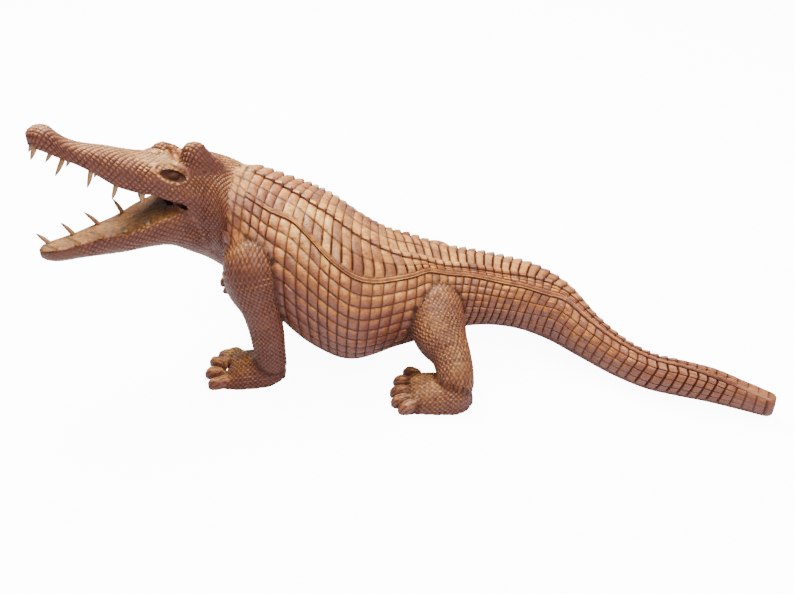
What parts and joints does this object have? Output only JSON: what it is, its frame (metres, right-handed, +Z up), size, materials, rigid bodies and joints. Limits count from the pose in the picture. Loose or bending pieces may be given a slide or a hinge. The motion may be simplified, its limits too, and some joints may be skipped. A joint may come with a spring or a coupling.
{
  "type": "carved crocodile sculpture",
  "caption": "Carved hardwood crocodile standing on four feet, head raised and turned with the mouth wide open, peg teeth, tiled back and a tail curving along the ground.",
  "frame": {"origin": "on the ground under the middle of the figure's footprint, with the four flat soles at z = 0", "axes": "-X towards the head, +X towards the tip of the tail, +Z up; the head and the tail both bend towards -Y, the crocodile's left"},
  "size_m": [0.593, 0.2332, 0.2255],
  "materials": {
    "varnished_wood": "gloss varnish over a reddish brown stain",
    "tooth_wood": "pale pegs with dark tips, varnished"
  },
  "bodies": {
    "root": {"carving": "varnished_wood", "lower_tooth_left_1": "tooth_wood", "lower_tooth_left_2": "tooth_wood", "lower_tooth_left_3": "tooth_wood", "lower_tooth_left_4": "tooth_wood", "lower_tooth_left_5": "tooth_wood", "lower_tooth_right_1": "tooth_wood", "lower_tooth_right_2": "tooth_wood", "lower_tooth_right_3": "tooth_wood", "lower_tooth_right_4": "tooth_wood", "lower_tooth_right_5": "tooth_wood", "upper_tooth_left_1": "tooth_wood", "upper_tooth_left_2": "tooth_wood", "upper_tooth_left_3": "tooth_wood", "upper_tooth_left_4": "tooth_wood", "upper_tooth_left_5": "tooth_wood", "upper_tooth_right_1": "tooth_wood", "upper_tooth_right_2": "tooth_wood", "upper_tooth_right_3": "tooth_wood", "upper_tooth_right_4": "tooth_wood", "upper_tooth_right_5": "tooth_wood"}
  },
  "joints": []
}
